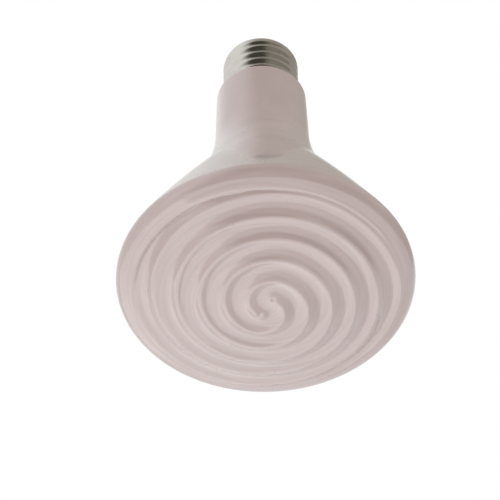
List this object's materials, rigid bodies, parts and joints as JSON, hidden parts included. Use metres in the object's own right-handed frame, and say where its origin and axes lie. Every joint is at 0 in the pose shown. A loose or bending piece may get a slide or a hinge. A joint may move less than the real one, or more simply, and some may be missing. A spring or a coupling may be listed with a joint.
{
  "type": "ceramic heat emitter",
  "caption": "Screw-in ceramic heat emitter with a flared glazed body, a domed spiral-ribbed face and a metal screw cap.",
  "frame": {"origin": "lowest point of the domed ribbed face, on the lamp axis", "axes": "+Z along the lamp axis from the domed face to the screw cap's centre contact, -Y towards the side from which the face is seen in the picture"},
  "size_m": [0.096, 0.096, 0.1321],
  "materials": {
    "glazed_ceramic": "glossy warm grey glaze",
    "plated_shell": "bright nickel plating",
    "cap_insulator": "unglazed white ceramic",
    "contact_metal": "bright brass",
    "solder": "dull grey tin solder"
  },
  "bodies": {
    "root": {"ceramic_body": "glazed_ceramic", "screw_shell": "plated_shell", "cap_insulator": "cap_insulator", "centre_contact": "contact_metal", "contact_solder": "solder"}
  },
  "joints": []
}
